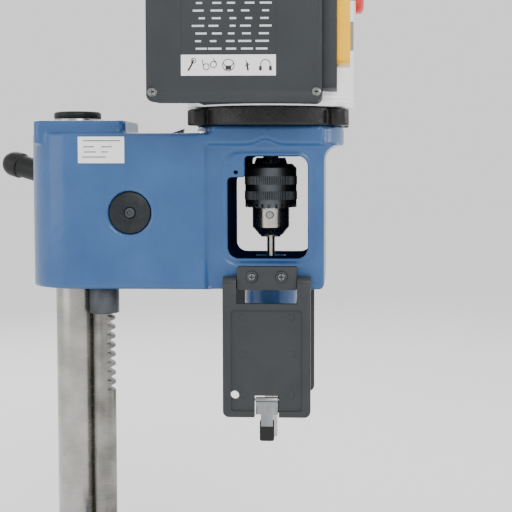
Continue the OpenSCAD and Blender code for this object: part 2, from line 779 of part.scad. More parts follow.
module fan() {
    color("#4a4a4a") translate([0, sy, motor_top + 6]) difference() {
        union() {
            cylinder(h = 18, d = 34);
            cylinder(h = 2.5, d = 130);
            for (i = [0:8]) rotate(i * 40) translate([14, -1.2, 0]) cube([50, 2.4, 18]);
        }
        translate([0, 0, -pad]) cylinder(h = 22, d = 17.06);
    }
}

module fan_cover() {
    color("#2a2b2c") difference() {
        cyl_z(0, sy, motor_top - 14, motor_top + 36, 2 * motor_r + 5);
        cyl_z(0, sy, motor_top - 15, motor_top, 2 * motor_r + 2 * fit);
        cyl_z(0, sy, motor_top - eps, motor_top + 33, 2 * motor_r - 2);
        translate([0, sy, motor_top + 30]) for (r = [24, 40, 56], i = [0:11])
            rotate(i * 30) translate([r, 0, 0]) cylinder(h = 10, d = 7);
    }
}

box_y1 = sy + 106.5;
box_y0 = box_y1 - box_w;
box_z0 = flange_top + 0.7;
box_z1 = box_z0 + box_h;
box_x = motor_r + 36;
cover_t = 4;
screw_in_y = 5.5;
screw_in_z = 9.3;

module control_box() {
    color("#3a3d40") difference() {
        rblock_x(-box_x, -50, box_y0 + 0.5, box_y1 - 0.5, box_z0 + 0.5, box_z1 - 0.5, 7);
        cyl_z(0, sy, box_z0 - pad, box_z1 + pad, 2 * motor_r);
        block(-50 - eps, 0, box_y0 - pad, box_y1 + pad, box_z0 - pad, box_z1 + pad);
        block(-motor_r - 8, 0, sy + 62, box_y1 + pad, box_z0 - pad, box_z1 + pad);
        // Hollow inside, behind the cover
        rblock_x(-box_x - pad, -motor_r - 11, box_y0 + 13, box_y1 - 13, box_z0 + 4, box_z1 - 4, 5);
        for (y = [box_y0 + screw_in_y, box_y1 - screw_in_y], z = [box_z0 + screw_in_z, box_z1 - screw_in_z])
            cyl_x(-box_x - pad, -box_x + 14, y, z, 4.02);
        cyl_y(-box_x + 16, box_y1 - 14, box_y1 + pad, box_z1 - 26, 12.04);
    }
}

module box_cover() {
    color("#4f5356") difference() {
        rblock_x(-box_x - cover_t, -box_x - 0.02, box_y0, box_y1, box_z0, box_z1, 7);
        for (y = [box_y0 + screw_in_y, box_y1 - screw_in_y], z = [box_z0 + screw_in_z, box_z1 - screw_in_z])
            cyl_x(-box_x - cover_t - pad, -box_x + pad, y, z, 4.4);
    }
}

module cover_screws() {
    color("#9a9c9c") for (y = [box_y0 + screw_in_y, box_y1 - screw_in_y],
        z = [box_z0 + screw_in_z, box_z1 - screw_in_z]) difference() {
        union() {
            cyl_x(-box_x - cover_t - 1.8, -box_x - cover_t - 0.02, y, z, 9.6);
            cyl_x(-box_x - cover_t - 0.1, -box_x + 12, y, z, 4);
        }
        for (a = [0, 90]) translate([-box_x - cover_t - 2, y, z]) rotate([a + 20, 0, 0])
            cube([2, 5, 1.1], center = true);
    }
}

// The switch looks forward from the front of the control box
switch_x0 = -box_x + 2;
switch_x1 = -58;
switch_xc = (switch_x0 + switch_x1) / 2;
switch_z0 = box_z0 + 13;
switch_z1 = switch_z0 + 128;
switch_back = box_y0;
switch_mid = switch_back - 13.5;
switch_face = switch_mid - 12.3;
start_z = switch_z0 + 50;
stop_z = switch_z0 + 91;

module switch_box() {
    color("#424548") difference() {
        rblock_y(switch_x0, switch_x1 + 4, switch_mid, switch_back + 0.48, switch_z0, switch_z1, 5);
        cyl_z(0, sy, switch_z0 - pad, switch_z1 + pad, 2 * motor_r + 0.6);
        rblock_y(switch_x0 + 6, switch_x1 - 12, switch_mid - pad, switch_mid + 10, switch_z0 + 30,
            switch_z1 - 12, 4);
    }
}

module switch_housing() {
    color("#fcd424") difference() {
        rblock_y(switch_x0 + 2, switch_x1, switch_face, switch_mid - 0.02, switch_z0 + 23, switch_z1 + 4, 6);
        rblock_y(switch_x0 + 6, switch_x1 - 4, switch_face + 4, switch_mid + pad, switch_z0 + 27,
            switch_z1, 4);
        rblock_y(switch_xc - 8, switch_xc + 8, switch_face - pad, switch_face + 5, start_z - 13.5,
            start_z + 13.5, 3);
        cyl_y(switch_xc, switch_face - pad, switch_face + 5, stop_z, 16);
    }
}

module start_button() {
    color("#8d8d85") {
        rblock_y(switch_xc - 7.6, switch_xc + 7.6, switch_face - 3.2, switch_face + 9, start_z - 13.1,
            start_z + 13.1, 2.6);
        block(switch_xc - 10.5, switch_xc + 10.5, switch_face + 7, switch_face + 9, start_z - 16, start_z + 16);
    }
}

module stop_button() {
    color("#c9282d") {
        cyl_y(switch_xc, switch_face - 10, switch_face - 5, stop_z, 40);
        translate([switch_xc, switch_face - 10, stop_z]) rotate([90, 0, 0]) cylinder(h = 2.5, d1 = 40, d2 = 34);
        cyl_y(switch_xc, switch_face - 5.1, switch_face + 8, stop_z, 15.4);
        cyl_y(switch_xc, switch_face + 7.8, switch_face + 9, stop_z, 20);
    }
}

module cord_gland() {
    color("#1c1c1c") difference() {
        union() {
            cyl_y(-box_x + 16, box_y1 - 12.5, box_y1 + 2, box_z1 - 26, 12);
            translate([-box_x + 16, box_y1 - 0.48, box_z1 - 26]) rotate([-90, 0, 0]) cylinder(h = 6, d = 20, $fn = 6);
            cyl_y(-box_x + 16, box_y1 + 5, box_y1 + 20, box_z1 - 26, 16);
        }
        cyl_y(-box_x + 16, box_y1 - 14, box_y1 + 21, box_z1 - 26, 8.2);
    }
}

module bracket() {
    difference() {
        rblock_x(-hinge_x - 5, -housing_half - 0.02, sy - bracket_w / 2, sy + bracket_w / 2,
            bracket_z0, bracket_z1, 1.2);
        cyl_y(-hinge_x, sy - 40, sy + 40, hinge_z, trunnion_d + 2 * fit);
        for (b = [-1, 1]) cyl_x(-hinge_x - 6, -housing_half + 1, sy + b * 14.5, bracket_z1 - 9.5, 5.4);
    }
}

module door_brackets() {
    color("#515558") {
        bracket();
        mirror([1, 0, 0]) bracket();
    }
}

module bracket_screws() {
    color("#a9aaa8") for (s = [0, 1], b = [-1, 1]) mirror([s, 0, 0])
        translate([-hinge_x - 5.02, sy + b * 14.5, bracket_z1 - 9.5]) rotate([0, -90, 0])
            union() {
                translate([0, 0, -24]) cylinder(h = 24.1, d = 5);
                cylinder(h = 0.8, d = 12);
                translate([0, 0, 0.7]) difference() {
                    cylinder(h = 2.4, d = 8.4);
                    for (a = [0, 90]) rotate(a + 30) translate([0, 0, 2.4]) cube([5.5, 1.2, 2.6], center = true);
                }
            }
}

door_in = -hinge_x - (hinge_x - housing_half) + door_gap;
door_out = door_in + door_t;
door_hole_z = hinge_z - 108.5;
door_hole_y = sy + window_l / 2 - 8;
latch_z = hinge_z - door_l + latch_l - 4;
pin_x = (door_in + door_out) / 2;
clip_x = pin_x + 1;

// A door hangs open below its bracket; its arms turn on short trunnions in the bracket's bore
module door() {
    y0 = sy - door_w / 2;
    y1 = sy + door_w / 2;
    z0 = hinge_z - door_l;
    arm_w = (door_w - bracket_w) / 2 - 0.5;
    difference() {
        union() {
            rblock_x(door_in, door_out, y0, y1, z0, hinge_z - 6, 6);
            for (s = [-1, 1]) {
                ya = s < 0 ? y0 : y1 - arm_w;
                cyl_y(-hinge_x, ya, ya + arm_w, hinge_z, 17);
                block(door_in, -hinge_x + 1, ya, ya + arm_w, hinge_z - 8, hinge_z);
                block(door_in, door_out, ya, ya + arm_w, hinge_z - notch_l - 12, hinge_z);
                block(door_in, door_in + 3, ya, ya + arm_w, hinge_z - 8, hinge_z + 2);
                yt = s < 0 ? y0 + arm_w - eps : y1 - arm_w - 8 + eps;
                cyl_y(-hinge_x, yt, yt + 8, hinge_z, trunnion_d);
            }
        }
        // Notch for the bracket, which leaves the trunnions
        difference() {
            block(door_in - 5, -housing_half, sy - bracket_w / 2 - 0.5, sy + bracket_w / 2 + 0.5,
                hinge_z - notch_l, hinge_z + 20);
            cyl_y(-hinge_x, y0, y1, hinge_z, trunnion_d + eps);
        }
        // Shallow panel on the inner face, and a cavity behind its frame on the outer face
        rblock_x(door_in - pad, door_in + 2.5, y0 + 8, y1 - 8, z0 + 6, hinge_z - notch_l - 6, 3);
        cyl_x(door_in - 2, door_out + 2, door_hole_y, door_hole_z, 8.5);
        // Latch slot, open at the free edge
        block(door_in - pad, door_out + pad, sy - latch_w / 2, sy + latch_w / 2, z0 - pad, latch_z + 4);
        cyl_y(pin_x, sy - 18, sy + 18, latch_z, 2.3);
    }
}

// The clip turns on a thin pin that is part of its rolled eye
module latch() {
    z0 = hinge_z - door_l;
    cyl_y(pin_x, sy - latch_w / 2 - 5.5, sy + latch_w / 2 + 5.5, latch_z, 2.2);
    cyl_y(pin_x, sy - 10.9, sy + 10.9, latch_z, 5);
    block(clip_x - clip_t / 2, clip_x + clip_t / 2, sy - 10.9, sy + 10.9, z0 + 2, latch_z);
    block(clip_x - clip_t / 2, clip_x + clip_t / 2, sy - 6, sy + 6, z0 - 10, z0 + 3);
}

module latch_tab() {
    z0 = hinge_z - door_l;
    difference() {
        rblock_x(clip_x - clip_t / 2 - 0.02 , clip_x + 3.2, sy - 7.1, sy + 7.1, z0 - 24.4, z0 - 3.4, 2);
        block(clip_x - clip_t / 2 - 0.1, clip_x + clip_t / 2 + 0.02, sy - 6.02, sy + 6.02, z0 - 10.02, z0 + 3);
    }
}

module door_left() { color("#4c4e50") door(); }
module door_right() { color("#4c4e50") mirror([1, 0, 0]) door(); }
module latch_left() { color("#a9acae") latch(); }
module latch_right() { color("#a9acae") mirror([1, 0, 0]) latch(); }
module latch_tab_left() { color("#3a3b39") latch_tab(); }
module latch_tab_right() { color("#3a3b39") mirror([1, 0, 0]) latch_tab(); }
base_casting();
table_board();
table_screws();
column();
column_cap();
column_clamp_bolts();
rack_rod();
rack_rod_nut();
gas_cylinder();
gas_rod();
fence_plate();
fence_bars();
fence_knob();
fence_lock();
depth_rod();
depth_collar();
depth_collar_screw();
head_casting();
rod_bushing();
pinion_shaft();
pinion_bushing();
pinion_washer();
pinion_screw();
feed_hub();
feed_bar();
feed_grip();
head_lock();
chisel_bushing();
chisel_lock_screw();
hollow_chisel();
auger_bit();
chuck_body();
chuck_sleeve();
chuck_jaw_1();
chuck_jaw_2();
chuck_jaw_3();
motor_flange();
flange_bolts();
motor_housing();
motor_bearings();
rotor_shaft();
stator();
fan();
fan_cover();
control_box();
box_cover();
cover_screws();
switch_box();
switch_housing();
start_button();
stop_button();
cord_gland();
door_brackets();
bracket_screws();
door_left();
door_right();
latch_left();
latch_right();
latch_tab_left();
latch_tab_right();
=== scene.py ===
import json
import math

import bmesh
import bpy
import numpy as np
from mathutils import Matrix, Vector, noise

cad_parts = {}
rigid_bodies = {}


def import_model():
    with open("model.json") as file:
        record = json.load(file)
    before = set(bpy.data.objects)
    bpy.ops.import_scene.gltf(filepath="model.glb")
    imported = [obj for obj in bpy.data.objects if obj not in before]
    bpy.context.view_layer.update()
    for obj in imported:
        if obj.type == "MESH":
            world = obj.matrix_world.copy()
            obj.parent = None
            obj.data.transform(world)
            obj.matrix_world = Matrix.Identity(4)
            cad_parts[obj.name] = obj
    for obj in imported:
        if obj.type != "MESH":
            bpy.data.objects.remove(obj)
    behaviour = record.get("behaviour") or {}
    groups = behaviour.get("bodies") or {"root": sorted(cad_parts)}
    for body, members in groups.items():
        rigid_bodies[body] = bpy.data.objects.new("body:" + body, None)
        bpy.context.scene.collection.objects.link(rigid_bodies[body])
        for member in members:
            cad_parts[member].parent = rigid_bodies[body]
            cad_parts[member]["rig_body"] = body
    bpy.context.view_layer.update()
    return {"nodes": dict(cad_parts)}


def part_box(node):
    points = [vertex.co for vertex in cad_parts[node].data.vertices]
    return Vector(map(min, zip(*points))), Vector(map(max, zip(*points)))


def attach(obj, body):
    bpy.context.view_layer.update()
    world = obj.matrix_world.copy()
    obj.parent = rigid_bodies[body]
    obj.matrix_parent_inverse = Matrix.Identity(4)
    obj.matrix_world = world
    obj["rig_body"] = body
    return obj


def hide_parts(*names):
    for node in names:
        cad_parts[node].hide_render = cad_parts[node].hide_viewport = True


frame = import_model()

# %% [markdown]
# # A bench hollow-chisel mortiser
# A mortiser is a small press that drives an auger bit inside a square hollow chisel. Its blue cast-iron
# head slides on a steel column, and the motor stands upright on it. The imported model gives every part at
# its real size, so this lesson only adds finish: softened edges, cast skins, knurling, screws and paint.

MM = 0.001
NODES = frame["nodes"]

# %% [markdown]
# ## Camera, floor and light
# The machine stands in a plain studio. The camera looks level at its left side, a little from the front,
# and close enough that the near door looks larger than the far one. A long lens keeps the column straight.

# %% Camera
def look(name, place, turn, tilt, lens, shift):
    """A camera at place that looks along +X, turned to the left and tilted down by the given degrees."""
    turn, tilt = math.radians(turn), math.radians(tilt)
    ahead = Vector((math.cos(turn) * math.cos(tilt), math.sin(turn) * math.cos(tilt), -math.sin(tilt)))
    right = Vector((math.sin(turn), -math.cos(turn), 0.0))
    up = right.cross(ahead)
    camera = bpy.data.objects.new(name, bpy.data.cameras.new(name))
    bpy.context.scene.collection.objects.link(camera)
    axes = Matrix((right, up, -ahead)).transposed().to_4x4()
    camera.matrix_world = Matrix.Translation(place) @ axes
    camera.data.lens = lens
    camera.data.sensor_width = 36.0
    camera.data.shift_x, camera.data.shift_y = shift
    camera.data.clip_end = 50.0
    return camera


bpy.context.scene.camera = look("camera", Vector((-1.154, -0.152, 0.525)), 2.49, 3.43, 78.9, (-0.08, -0.05))

# %% [markdown]
# A node material is a small graph. One helper adds a node, sets its properties and joins its inputs, so
# each recipe below reads as a list of nodes. Colours are written as hex codes, as a paint chart gives
# them, and one function turns them into the linear values that the renderer works in.

# %% Helpers for materials
def colour(code):
    """A hex colour such as #597da1 as linear red, green, blue and alpha."""
    parts = [int(code[i:i + 2], 16) / 255 for i in (1, 3, 5)]
    return [c / 12.92 if c <= 0.04045 else ((c + 0.055) / 1.055) ** 2.4 for c in parts] + [1.0]


def add(place, kind, settings=None, inputs=None):
    """One node in a material or a geometry tree. An input is a value, an output, or several outputs."""
    tree = getattr(place, "node_tree", place)
    node = tree.nodes.new(kind)
    for name, value in (settings or {}).items():
        setattr(node, name, value)
    for name, value in (inputs or {}).items():
        outputs = value if isinstance(value, list) else [value]
        if isinstance(outputs[0], bpy.types.NodeSocket):
            for output in outputs:
                tree.links.new(output, node.inputs[name])
        else:
            node.inputs[name].default_value = value
    return node


def blank(name):
    """A material with an empty node tree."""
    material = bpy.data.materials.new(name)
    material.use_nodes = True
    material.node_tree.nodes.clear()
    return material


def done(material, **surface):
    """Joins a Principled surface with the given inputs to the output."""
    named = {k.replace("_", " "): v for k, v in surface.items()}
    shader = add(material, "ShaderNodeBsdfPrincipled", inputs=named)
    add(material, "ShaderNodeOutputMaterial", inputs={"Surface": shader.outputs[0]})
    return material


# %% Floor and lights
paper = blank("pale_studio_floor")
done(paper, Base_Color=colour("#ffffff"), Roughness=0.95)
bpy.ops.mesh.primitive_plane_add(size=30, location=(0, 0, 0))
floor = bpy.context.object
floor.name = "floor"
floor.data.materials.append(paper)


def area_light(name, place, target, size, power):
    """A soft square light that faces target."""
    lamp = bpy.data.lights.new(name, "AREA")
    lamp.shape, lamp.size, lamp.energy = "SQUARE", size, power
    light = bpy.data.objects.new(name, lamp)
    light.location = place
    light.rotation_euler = (Vector(target) - Vector(place)).to_track_quat("-Z", "Y").to_euler()
    bpy.context.scene.collection.objects.link(light)


middle = (0, 0, 0.45)
area_light("key", (-1.9, -0.7, 1.7), middle, 1.0, 22)
area_light("fill", (-1.2, 1.9, 1.0), middle, 1.4, 10)
area_light("front", (0.3, -2.2, 1.1), middle, 1.0, 16)
area_light("rim", (1.8, 0.9, 1.6), middle, 1.0, 18)

world = bpy.data.worlds.new("studio")
world.use_nodes = True
world.node_tree.nodes["Background"].inputs[0].default_value = colour("#ffffff")
world.node_tree.nodes["Background"].inputs[1].default_value = 1.15
bpy.context.scene.world = world
print("camera and four lights set")

# %% [markdown]
# ## Paints
# Machine paint is a thick enamel. It flows before it dries, so it keeps a faint orange-peel surface a few
# millimetres across. Two noises make it: a broad one that shifts the colour a little, as an uneven coat
# does, and a fine one that moves the surface. A clear coat on top gives the sharp second highlight.

# %% Painted metal
def enamel(name, dark, light, peel_mm, peel, roughness, coat, gloss=0.3):
    """Enamel over cast or sheet metal, with orange peel of the given size and strength."""
    m = blank(name)
    place = add(m, "ShaderNodeTexCoord").outputs["Object"]
    patches = add(m, "ShaderNodeTexNoise", inputs={"Vector": place, "Scale": 1 / (45 * MM), "Detail": 6.0})
    tint = add(m, "ShaderNodeMix", {"data_type": "RGBA"}, {
        0: patches.outputs["Fac"], 6: colour(dark), 7: colour(light)})
    skin = add(m, "ShaderNodeTexNoise", inputs={"Vector": place, "Scale": 1 / (peel_mm * MM), "Detail": 3.0})
    bump = add(m, "ShaderNodeBump", inputs={
        "Height": skin.outputs["Fac"], "Strength": peel, "Distance": 0.5 * MM})
    shine = add(m, "ShaderNodeMapRange", inputs={
        "Value": patches.outputs["Fac"], "To Min": roughness - 0.07, "To Max": roughness + 0.07})
    return done(m, Base_Color=tint.outputs[2], Roughness=shine.outputs[0], Specular_IOR_Level=gloss,
        Coat_Weight=coat, Coat_Roughness=0.12, Normal=bump.outputs[0])


blue = enamel("blue_machine_enamel", "#24477a", "#386294", 3.0, 0.75, 0.34, 0.35)
# painted shade: near-black enamel that stands in for the shadow on the walls inside the head's opening
painted_shade_navy = enamel("blue_enamel_in_the_opening", "#030b1e", "#06142e", 3.0, 0.3, 0.9, 0.0, 0.0)
blue_base = enamel("dark_blue_machine_enamel", "#1f4070", "#2f5586", 3.0, 0.75, 0.42, 0.25)
black_enamel = enamel("satin_black_enamel", "#090909", "#1a1a19", 2.6, 1.0, 0.4, 0.15)
motor_paint = enamel("light_grey_enamel", "#eeeeed", "#f8f8f7", 2.2, 0.2, 0.35, 0.3)
powder_grey = enamel("grey_powder_coat", "#2b2e31", "#35393c", 0.9, 0.55, 0.5, 0.0)

# %% [markdown]
# ## Bare and blackened metals
# Ground steel carries fine scratches in the direction of the wheel. Stretching a noise along one axis
# draws them: the scale is large across the scratches and small along them. Black oxide is a thin dark
# layer, so it is a metal too, with a dull shine and paler patches where it has rubbed.

# %% Metals
def worked_metal(name, dark, light, across_mm, stretch, roughness, scratch):
    """Metal with scratches across_mm wide, drawn out along the axes where stretch is below 1."""
    m = blank(name)
    place = add(m, "ShaderNodeTexCoord").outputs["Object"]
    lay = add(m, "ShaderNodeMapping", inputs={"Vector": place, "Scale": stretch})
    lines = add(m, "ShaderNodeTexNoise", inputs={
        "Vector": lay.outputs[0], "Scale": 1 / (across_mm * MM), "Detail": 4.0, "Roughness": 0.65})
    stain = add(m, "ShaderNodeTexNoise", inputs={"Vector": place, "Scale": 1 / (30 * MM), "Detail": 5.0})
    both = add(m, "ShaderNodeMath", {"operation": "MULTIPLY_ADD"}, {
        0: lines.outputs["Fac"], 1: 0.5, 2: stain.outputs["Fac"]})
    spread = add(m, "ShaderNodeMapRange", inputs={
        "Value": both.outputs[0], "From Min": 0.45, "From Max": 1.05})
    tint = add(m, "ShaderNodeMix", {"data_type": "RGBA"}, {
        0: spread.outputs[0], 6: colour(dark), 7: colour(light)})
    shine = add(m, "ShaderNodeMapRange", inputs={
        "Value": lines.outputs["Fac"], "To Min": roughness - 0.08, "To Max": roughness + 0.1})
    bump = add(m, "ShaderNodeBump", inputs={
        "Height": lines.outputs["Fac"], "Strength": scratch, "Distance": 0.1 * MM})
    return done(m, Base_Color=tint.outputs[2], Metallic=1.0, Roughness=shine.outputs[0],
        Normal=bump.outputs[0])


ALONG_Z, ALONG_Y, ROUND_Z = (1, 1, 0.03), (1, 0.03, 1), (0.15, 0.15, 2.5)
ground_steel = worked_metal("ground_steel", "#8b8985", "#b9b7b2", 1.2, ROUND_Z, 0.24, 0.2)
bar_steel = worked_metal("drawn_steel_bar", "#a09e9a", "#cbc8c3", 1.0, ALONG_Y, 0.3, 0.15)
rack_steel = worked_metal("milled_rack_steel", "#5f5d5a", "#a4a19b", 1.4, ROUND_Z, 0.34, 0.3)
tool_steel = worked_metal("polished_tool_steel", "#8a8782", "#cfcbc4", 0.9, ALONG_Z, 0.24, 0.15)
black_oxide = worked_metal("black_oxide_steel", "#33363a", "#606468", 1.5, (1, 1, 1), 0.42, 0.2)
zinc = worked_metal("zinc_plated_steel", "#6d7070", "#9c9e9e", 0.8, (1, 1, 1), 0.34, 0.2)
spring_steel = worked_metal("spring_steel_strip", "#696c6f", "#a3a6a9", 0.8, ALONG_Z, 0.3, 0.2)
dark_oxide = worked_metal("matt_black_oxide", "#222426", "#3f4244", 1.8, (1, 1, 1), 0.5, 0.35)
bronze = worked_metal("sintered_bronze", "#7d6a48", "#a68f63", 0.6, (1, 1, 1), 0.4, 0.3)
copper = worked_metal("enamelled_copper_wire", "#7c3a16", "#b5642c", 1.0, (0.1, 0.1, 3), 0.3, 0.6)

# %% [markdown]
# ## Plastics
# Moulded plastic is matte where the steel mould was sparked and glossy where it was polished. The spark
# texture is a grain well under a millimetre, drawn a little coarser here so that it shows.

# %% Plastics
def moulded(name, dark, light, grain_mm, grain, roughness, coat=0.0):
    """ABS or nylon with a spark-eroded grain."""
    m = blank(name)
    place = add(m, "ShaderNodeTexCoord").outputs["Object"]
    flow = add(m, "ShaderNodeTexNoise", inputs={"Vector": place, "Scale": 1 / (35 * MM), "Detail": 5.0})
    tint = add(m, "ShaderNodeMix", {"data_type": "RGBA"}, {
        0: flow.outputs["Fac"], 6: colour(dark), 7: colour(light)})
    spark = add(m, "ShaderNodeTexNoise", inputs={
        "Vector": place, "Scale": 1 / (grain_mm * MM), "Detail": 2.0})
    bump = add(m, "ShaderNodeBump", inputs={
        "Height": spark.outputs["Fac"], "Strength": grain, "Distance": 0.12 * MM})
    shine = add(m, "ShaderNodeMapRange", inputs={
        "Value": flow.outputs["Fac"], "To Min": roughness - 0.06, "To Max": roughness + 0.08})
    return done(m, Base_Color=tint.outputs[2], Roughness=shine.outputs[0], Specular_IOR_Level=0.3,
        Coat_Weight=coat, Coat_Roughness=0.1, Normal=bump.outputs[0])


door_plastic = moulded("charcoal_moulded_nylon", "#292b2d", "#383b3d", 0.7, 0.45, 0.45)
black_plastic = moulded("black_moulded_abs", "#0e0f0f", "#191a1a", 0.8, 0.4, 0.45)
bracket_plastic = moulded("grey_moulded_nylon", "#2c2f31", "#373a3c", 0.8, 0.45, 0.5)
yellow_plastic = moulded("yellow_gloss_abs", "#f7b200", "#ffc800", 1.0, 0.12, 0.35, 0.1)
red_plastic = moulded("red_gloss_abs", "#bf1f26", "#d8353a", 1.0, 0.12, 0.28, 0.3)
grey_plastic = moulded("grey_satin_abs", "#85867e", "#989992", 0.9, 0.3, 0.42)
white_film = moulded("white_vinyl_film", "#e9ebea", "#f4f5f4", 2.0, 0.1, 0.4)
print("materials", len(bpy.data.materials))

# %% [markdown]
# ## Softening every edge
# No real part has a perfectly sharp edge: a turned part is broken with a file, and a pressed one has a
# small radius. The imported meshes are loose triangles, so a copy is welded, its flat areas are joined
# into single faces, and a Bevel modifier rounds what is left. The highlight along each edge comes from
# this. Faces that meet at a shallow angle, as round a shaft, are shaded smooth instead.

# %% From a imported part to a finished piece
def welded(node):
    """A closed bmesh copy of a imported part."""
    bm = bmesh.new()
    bm.from_mesh(NODES[node].data)
    bmesh.ops.remove_doubles(bm, verts=bm.verts, dist=0.004 * MM)
    return bm


def to_object(name, bm):
    mesh = bpy.data.meshes.new(name)
    bm.to_mesh(mesh)
    bm.free()
    thing = bpy.data.objects.new(name, mesh)
    bpy.context.scene.collection.objects.link(thing)
    return thing


def baked(thing, smooth=35):
    """Turns what the modifiers give into the object's plain mesh, smooth below the given angle."""
    view = bpy.context.evaluated_depsgraph_get()
    mesh = bpy.data.meshes.new_from_object(thing.evaluated_get(view))
    thing.modifiers.clear()
    thing.data = mesh
    mesh.shade_smooth()
    mesh.set_sharp_from_angle(angle=math.radians(smooth))
    return thing


def finished(thing, node, material=None):
    """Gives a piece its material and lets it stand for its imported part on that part's body."""
    if material:
        thing.data.materials.clear()
        thing.data.materials.append(material)
    body = NODES[node]["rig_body"]
    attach(thing, body)
    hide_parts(node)
    return thing


def softened(node, material, width=0.5, segments=2, angle=38):
    """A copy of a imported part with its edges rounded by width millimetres."""
    bm = welded(node)
    bmesh.ops.dissolve_limit(bm, angle_limit=math.radians(0.6), verts=bm.verts, edges=bm.edges)
    thing = to_object(node + "_piece", bm)
    bevel = thing.modifiers.new("edge", "BEVEL")
    bevel.width, bevel.segments = width * MM, segments
    bevel.limit_method, bevel.angle_limit = "ANGLE", math.radians(angle)
    bevel.use_clamp_overlap = True
    bevel.miter_outer = "MITER_ARC"
    thing.data.materials.append(material)
    return baked(thing)


def edged(node, material, width=0.5, segments=2, angle=38):
    """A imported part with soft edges, finished."""
    return finished(softened(node, material, width, segments, angle), node)


PLAIN = {
    "table_screws": (zinc, 0.3), "column": (ground_steel, 1.0), "column_cap": (black_plastic, 0.6),
    "column_clamp_bolts": (black_oxide, 0.4), "rack_rod": (rack_steel, 0.35),
    "rack_rod_nut": (black_oxide, 0.5),
    "gas_cylinder": (black_enamel, 0.8), "gas_rod": (tool_steel, 0.4), "fence_plate": (black_enamel, 1.0),
    "fence_bars": (bar_steel, 0.3), "fence_knob": (black_plastic, 0.6), "fence_lock": (black_oxide, 0.6),
    "depth_rod": (ground_steel, 0.8), "depth_collar": (black_oxide, 0.8),
    "depth_collar_screw": (black_plastic, 0.6),
    "rod_bushing": (black_oxide, 0.8), "pinion_shaft": (tool_steel, 0.3), "pinion_bushing": (bronze, 0.8),
    "pinion_washer": (dark_oxide, 0.7), "pinion_screw": (black_oxide, 0.4), "feed_hub": (black_enamel, 1.4),
    "feed_bar": (bar_steel, 0.6), "feed_grip": (black_plastic, 1.0), "head_lock": (black_oxide, 1.0),
    "chisel_bushing": (tool_steel, 0.4), "chisel_lock_screw": (black_oxide, 0.4),
    "hollow_chisel": (tool_steel, 0.25), "auger_bit": (tool_steel, 0.2), "chuck_jaw_1": (tool_steel, 0.2),
    "chuck_jaw_2": (tool_steel, 0.2), "chuck_jaw_3": (tool_steel, 0.2), "flange_bolts": (black_oxide, 0.4),
    "motor_bearings": (zinc, 0.4), "rotor_shaft": (tool_steel, 0.5), "stator": (copper, 1.0),
    "fan": (black_plastic, 0.4), "cord_gland": (black_plastic, 0.6),
    "fan_cover": (black_enamel, 1.5), "control_box": (powder_grey, 0.6),
    "switch_box": (powder_grey, 0.8),
    "switch_housing": (yellow_plastic, 1.2), "start_button": (grey_plastic, 0.6),
    "stop_button": (red_plastic, 1.2),
    "door_brackets": (bracket_plastic, 0.8),
    "latch_left": (spring_steel, 0.25), "latch_right": (spring_steel, 0.25),
    "latch_tab_left": (black_plastic, 0.5), "latch_tab_right": (black_plastic, 0.5),
}
for node, (material, width) in PLAIN.items():
    edged(node, material, width)

# %% [markdown]
# ## Sand castings
# The head, the base and the motor's flange are grey iron poured in sand. Sand can't hold a sharp corner,
# so every edge is round and every inside corner has a fillet, and the face stays faintly uneven under
# its paint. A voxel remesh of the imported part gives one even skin, a Smooth modifier wears it down, and
# a low noise pushes it in and out by a fraction of a millimetre.

# %% Casting skins
def heights(mesh):
    """The places of a mesh's vertices and the directions they face, as two arrays."""
    count = len(mesh.vertices) * 3
    at, out = np.empty(count), np.empty(count)
    mesh.vertices.foreach_get("co", at)
    mesh.vertex_normals.foreach_get("vector", out)
    return at.reshape(-1, 3), out.reshape(-1, 3)


def put_back(mesh, at):
    mesh.vertices.foreach_set("co", at.ravel())
    mesh.update()


def cast(node, material, grain_mm, passes, swell_mm=0.15):
    """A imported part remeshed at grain_mm, worn round, and made uneven by swell_mm."""
    thing = to_object(node + "_piece", welded(node))
    skin = thing.modifiers.new("skin", "REMESH")
    skin.mode, skin.voxel_size = "VOXEL", grain_mm * MM
    wear = thing.modifiers.new("wear", "SMOOTH")
    wear.factor, wear.iterations = 0.5, passes
    baked(thing, 180)
    thing.data.materials.clear()
    thing.data.materials.append(material)
    at, out = heights(thing.data)
    rise = [0.6 * noise.noise(Vector(p) / (22 * MM)) + 0.4 * noise.noise(Vector(p) / (7 * MM)) for p in at]
    put_back(thing.data, at + out * np.array(rise)[:, None] * swell_mm * MM)
    print(node, "casting skin", len(thing.data.polygons), "faces")
    return thing


base = cast("base_casting", blue_base, 2.8, 3)
finished(base, "base_casting")
flange = cast("motor_flange", black_enamel, 1.3, 2, 0.45)
finished(flange, "motor_flange")

# %% [markdown]
# ## The head's sides
# The housing is set back 5 mm behind the arm and the neck. Where the pattern maker blended the neck into
# it, the edge dips and rises over the opening like a wave. A shallow valley and a lip under half a
# millimetre high run round the opening, low enough for the raised door to lie over them. All are heights
# of one flat face, so a function of the place on that face gives them, and the skin's vertices
# move out to it.

# %% Wave, lip and step on both sides of the head
FACE, PROUD = 50 * MM, 5 * MM
WAVE_Z, WAVE_RISE, WAVE_WIDTH = 541 * MM, 5.5 * MM, 10 * MM
spindle_y = -75 * MM
window_low, window_high = Vector((-114.5, 431)) * MM, Vector((-35.5, 532)) * MM


def eased(t):
    """0 below 0, 1 above 1, and a smooth rise between."""
    t = np.clip(t, 0.0, 1.0)
    return t * t * (3 - 2 * t)


def past_window(y, z, corner=12 * MM):
    """How far a place is outside the opening's round-cornered outline."""
    across = abs(y - (window_low.x + window_high.x) / 2) - (window_high.x - window_low.x) / 2 + corner
    along = abs(z - (window_low.y + window_high.y) / 2) - (window_high.y - window_low.y) / 2 + corner
    outside = np.hypot(np.maximum(across, 0), np.maximum(along, 0))
    return outside + np.minimum(np.maximum(across, along), 0) - corner


